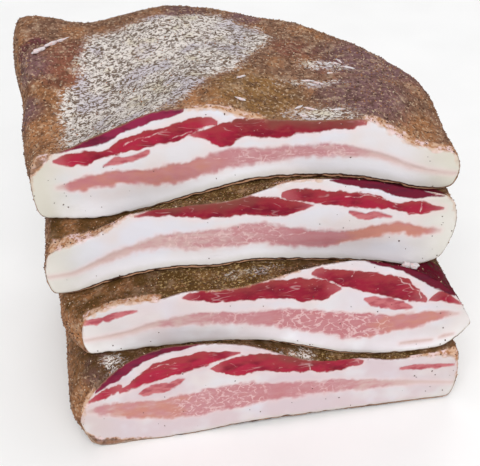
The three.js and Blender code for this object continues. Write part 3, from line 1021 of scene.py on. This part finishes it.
def cut_face_material():
    paint = Paint("cut_face", roughness=0.5, specular=0.14)
    pale = band_depth(paint, "pale", (4.5, 4.5, 4), 1.7)
    red = band_depth(paint, "red", (4.5, 4.5, 3.5), 1.2)
    rose = band_depth(paint, "rose", (4, 4, 3), 1.2)
    dark = band_depth(paint, "dark", (5, 5, 3), 0.9)
    smear = paint.ragged("smear", 2.4, 1.4)
    near_lean = paint.step(paint.math("MAXIMUM", pale, red), -3.5, 0)
    fascia = paint.step(paint.ragged("fascia", 2.2, 0.4), 0.5, 0.1)
    run_over = paint.step(paint.ragged("upper_edge", 4, 3), 1.8, 0)
    crust_edge = paint.step(paint.ragged("upper_edge", 3, 0.8), 0.8, 0.1)
    whole_crust = paint.step(paint.math("MAXIMUM", "thin_crust", "bare_lean"), 0.5, 0)
    colour = paint.layers(
        fat_colour(paint),
        (FAT_PINK, near_lean, 0.4),
        (pale_lean_colour(paint), paint.step(pale, -1.7, 1)),
        (rose_lean_colour(paint), paint.step(rose, -0.8, 0.6)),
        (red_lean_colour(paint, red), paint.step(red, -0.6, 0.5)),
        (dark_lean_colour(paint), paint.step(dark, -0.5, 0.4)),
        (FAT_PINK, fascia, paint.blotches(3, 0.3, 0.55), 0.6),
        (smear_colour(paint, smear), paint.step(smear, -0.6, 1)),
        (thin_crust_colour(paint), run_over, "thin_crust", 0.75),
        (CRUST_BROWN, crust_edge, whole_crust, 0.8))
    paint.bump(paint.noise((2.2, 2.2, 1.2), 3), distance=0.25, strength=0.3)
    return paint.finish(rind_over(paint, colour))


def mould_colour(paint, strokes):
    return paint.layers(
        MOULD_PALE,
        (MOULD_OLIVE, paint.blotches(13, 0.52, 0.7), 0.5),
        (MOULD_LILAC, paint.blotches(18, 0.5, 0.68), 0.6),
        (MOULD_DARK, paint.step(paint.ragged(strokes, 22, 0.07), 0.45, 0.57)))


def crust_colour(paint):
    """The dry crust: tinted patches, dark and light specks, and painted shade on the ledges in front of the
    piece above, with flecks of gold.
    """
    tints = (("orange", CRUST_ORANGE), ("russet", CRUST_RUSSET), ("olive", CRUST_OLIVE),
             ("purple", CRUST_PURPLE), ("bruise", CRUST_BRUISE))
    dark_specks = ((20, 0.3), (5, 0.45), (1.8, 0.65))
    light_specks = ((6, 0.3), (1.6, 0.6))
    return paint.layers(
        CRUST_BROWN,
        (CRUST_ORANGE, paint.blotches(14, 0.45, 0.75, 3)),
        *((shade, paint.step(paint.ragged(tint, 10, 0.3), 0.25, 0.8), 0.85) for tint, shade in tints),
        *((CRUST_DARK, paint.blotches(size, 0.48, 0.66, 3), share) for size, share in dark_specks),
        *((CRUST_LIGHT, paint.blotches(size, 0.54, 0.7), share) for size, share in light_specks),
        # painted shade on the ledges, with gold flecks in it
        (CRUST_LEDGE_SHADE, "ledge_shade", paint.blotches(9, 0.2, 0.65, 3), 0.9),
        (CRUST_GOLD, "ledge_shade", paint.blotches(1.3, 0.55, 0.66), paint.step("olive", 0.2, 0.6), 0.6))


def crust_material():
    paint = Paint("spiced_crust", roughness=0.85, specular=0.15)
    bare_fat = paint.step(paint.ragged("thin_crust", 3, 0.45), 0.3, 0.75)
    bare_lean = paint.step(paint.ragged("bare_lean", 2.5, 0.6), 0.3, 0.7)
    lean = paint.layers(LEAN_DARK, (CRUST_DARK, paint.blotches(3, 0.5, 0.7, 3)))
    strokes = paint.noise((2.2, 1.4, 1.4), 2, warp=1.2)
    broken = paint.times(paint.math("SUBTRACT", 0.55, strokes), 18)
    mould = paint.math("ADD", paint.ragged("mould", 14, 7), broken)
    normal = paint.nodes.new("ShaderNodeNewGeometry").outputs["Normal"]
    upward = paint.node("SeparateXYZ", {0: normal}).outputs["Z"]
    rind = paint.layers(RIND_BROWN, (RIND_DARK, paint.blotches(5, 0.4, 0.65, 3)))
    colour = paint.layers(
        crust_colour(paint),
        (thin_crust_colour(paint), bare_fat),
        (lean, bare_lean),
        (mould_colour(paint, strokes), paint.step(mould, -2.5, 4), 0.92),
        (rind, paint.step(upward, -0.4, -0.8)))
    paint.bump(paint.noise(1.4, 3), distance=0.6, strength=0.8)
    return paint.finish(colour)


def grain_material():
    paint = Paint("spice_grain", roughness=0.7, specular=0.3)
    return paint.finish(paint.layers(
        CRUST_DARK,
        (CRUST_BROWN, paint.step("shade", 0.2, 0.26)),
        (CRUST_ORANGE, paint.step("shade", 0.5, 0.56)),
        (CRUST_LIGHT, paint.step("shade", 0.84, 0.9)),
        (GRAIN_CREAM, paint.step("shade", 0.96, 0.98)),
        (CRUST_DARK, paint.noise(0.7), 0.4)))


def pepper_material():
    paint = Paint("pepper", roughness=0.6, specular=0.3)
    return paint.finish(paint.layers(PEPPER_DARK, (RIND_BROWN, paint.blotches(0.5, 0.45, 0.65))))


def scrap_material():
    paint = Paint("fat_scrap", roughness=0.45, specular=0.3)
    return paint.finish(paint.layers(FAT_WHITE, (FAT_PINK, paint.blotches(1.5, 0.4, 0.65))))


def floor_material():
    paint = Paint("floor", roughness=0.7, specular=0.2)
    return paint.finish(paint.layers(FLOOR_PALE, (FLOOR_SHADE, paint.blotches(60, 0.3, 0.7))))


# Grains, bits and scraps

OCTAHEDRON = np.array([(1, 0, 0), (-1, 0, 0), (0, 1, 0), (0, -1, 0), (0, 0, 1), (0, 0, -1)], float)
OCTAHEDRON_FACES = np.array([(0, 2, 4), (2, 1, 4), (1, 3, 4), (3, 0, 4),
                             (2, 0, 5), (1, 2, 5), (3, 1, 5), (0, 3, 5)])


def add_piece(name, mesh, material):
    piece = add_object(name, mesh)
    mesh.materials.append(material)
    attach(piece, "root")


def scatter_places(surface, side, density, chance, draw):
    """Random places on the cut face (side 0) or crust (side 1), with the normals there.

    chance is the share of places kept near each of the surface's points.
    """
    mesh = surface.slab.data
    mesh.calc_loop_triangles()
    triangles = [triangle for triangle in mesh.loop_triangles if triangle.material_index == side]
    corners = np.array([triangle.vertices for triangle in triangles])
    one, two, three = (surface.points[corners[:, i]] for i in range(3))
    cross = np.cross(two - one, three - one)
    area = np.linalg.norm(cross, axis=1) / 2
    weight = area * chance[corners].min(axis=1)
    picked = draw.choice(len(corners), int(density * weight.sum()), p=weight / weight.sum())
    shares = draw.dirichlet((1, 1, 1), len(picked))
    places = np.einsum("ij,ijk->ik", shares, surface.points[corners[picked]])
    return places, cross[picked] / (2 * area[picked, None])


def random_turns(count, draw):
    """Rotation matrices in random directions."""
    turns = draw.normal(size=(4, count)).T
    return np.array([Quaternion(turn).normalized().to_matrix() for turn in turns.tolist()])


def add_grains(name, places, normals, sizes, material, draw):
    """Uneven eight-sided grains, half sunk in the surface, each with a shade of its own."""
    count = len(places)
    halves = draw.uniform(*sizes, (count, 1, 1)) * draw.uniform(*GRAIN_STRETCH, (count, 1, 3))
    corners = np.einsum("nij,nkj->nki", random_turns(count, draw), OCTAHEDRON * halves)
    corners += (places + GRAIN_LIFT * halves.mean(axis=2) * normals)[:, None, :]
    faces = OCTAHEDRON_FACES[None] + len(OCTAHEDRON) * np.arange(count)[:, None, None]
    mesh = bpy.data.meshes.new(name)
    mesh.from_pydata((corners.reshape(-1, 3) * MM).tolist(), [], faces.reshape(-1, 3).tolist())
    keep_on(mesh, "shade", np.repeat(draw.random(count), len(OCTAHEDRON)))
    add_piece(name, mesh, material)


def at_least(least, share):
    """A share from 0 to 1, brought to run from least to 1."""
    return least + (1 - least) * share


def add_spices(surfaces):
    """Grains on the crust and pepper on the cut faces, fewer on mould, lean and the middle of a face."""
    draw = np.random.default_rng(SCATTER_SEED)
    crust, faces = [], []
    for surface in surfaces:
        free = (surface.clear > SCATTER_CLEARANCE).astype(float)
        facing = smoothstep(surface.normals[:, 2], *GRAIN_FACING)
        clean = 1 - MOULD_HIDES * smoothstep(surface.mould, *MOULD_FADE)
        clean = clean * (1 - LEAN_HIDES * bare_lean(surface))
        crust.append(scatter_places(surface, 1, GRAINS_PER_AREA, free * facing * clean, draw))
        on_fat = at_least(PEPPER_ON_LEAN, smoothstep(-surface.lean, *PEPPER_OFF_LEAN))
        near_ends = at_least(PEPPER_MIDDLE, smoothstep(surface.from_end, *PEPPER_ENDS))
        faces.append(scatter_places(surface, 0, PEPPER_PER_AREA, free * on_fat * near_ends, draw))
    for name, found, sizes, material in (("spice_grains", crust, GRAIN_SIZES, grain_material()),
                                         ("pepper_bits", faces, PEPPER_SIZES, pepper_material())):
        places, normals = (np.concatenate(column) for column in zip(*found))
        add_grains(name, places, normals, sizes, material, draw)


def flakes_on(surface):
    """The flakes as scraps that lie on a piece's upper side."""
    flakes = []
    for spot, half_length, turn in FLAKES:
        near = np.linalg.norm(surface.points[:, :2] - np.array(spot), axis=1) < FLAKE_SPOT
        top = surface.points[near, 2].max()
        flakes.append(((*spot, top), (half_length, FLAKE_THICKNESS, FLAKE_THICKNESS), turn))
    return flakes


def add_scraps(top_surface):
    """Small uneven scraps of fat and flakes, all in one piece."""
    work = bmesh.new()
    for place, halves, angle in (*SCRAPS, *flakes_on(top_surface)):
        turn = Matrix.Rotation(math.radians(angle), 3, "Z")
        scrap = bmesh.ops.create_icosphere(work, subdivisions=SCRAP_LEVELS, radius=1.0)["verts"]
        for vertex in scrap:
            lumps = noise.noise(vertex.co * SCRAP_LUMPS + Vector(place))
            local = (1 + SCRAP_ROUGHNESS * lumps) * vertex.co * Vector(halves)
            vertex.co = (Vector(place) + turn @ local) * MM
    mesh = bpy.data.meshes.new("fat_scraps")
    work.to_mesh(mesh)
    work.free()
    mesh.shade_smooth()
    add_piece("fat_scraps", mesh, scrap_material())


# Stage

def add_floor(material):
    half = FLOOR_HALF_M
    mesh = bpy.data.meshes.new("floor")
    corners = [(-half, -half, 0), (half, -half, 0), (half, half, 0), (-half, half, 0)]
    mesh.from_pydata(corners, [], [(0, 1, 2, 3)])
    mesh.materials.append(material)
    floor = add_object("floor", mesh)


def add_light(name, place, size, power):
    """A square soft light at a place in metres, turned to the object."""
    data = bpy.data.lights.new(name, "AREA")
    data.size = size
    data.energy = power
    lamp = add_object(name, data)
    lamp.location = place
    lamp.rotation_euler = (Vector(LIGHT_TARGET_M) - lamp.location).to_track_quat("-Z", "Y").to_euler()


def add_world():
    world = bpy.data.worlds.new("studio")
    world.use_nodes = True
    background = world.node_tree.nodes["Background"]
    background.inputs["Color"].default_value = (1, 1, 1, 1)
    background.inputs["Strength"].default_value = WORLD_STRENGTH
    bpy.context.scene.world = world


def add_camera():
    data = bpy.data.cameras.new("camera")
    data.lens = LENS
    data.sensor_width = SENSOR
    camera = add_object("camera", data)
    camera.location = Vector(EYE) * MM
    camera.rotation_euler = (math.radians(90 - LOOK_DOWN_DEG), 0, math.radians(-LOOK_RIGHT_DEG))
    bpy.context.scene.camera = camera


CUT_FACE = cut_face_material()
CRUST = crust_material()
dressed = [dress(piece) for piece in PIECES]
add_spices(dressed)
add_scraps(dressed[0])

add_floor(floor_material())
for light, (place, size, power) in LIGHTS.items():
    add_light(light, place, size, power)
add_world()
add_camera()
bpy.context.scene.view_settings.view_transform = "Standard"
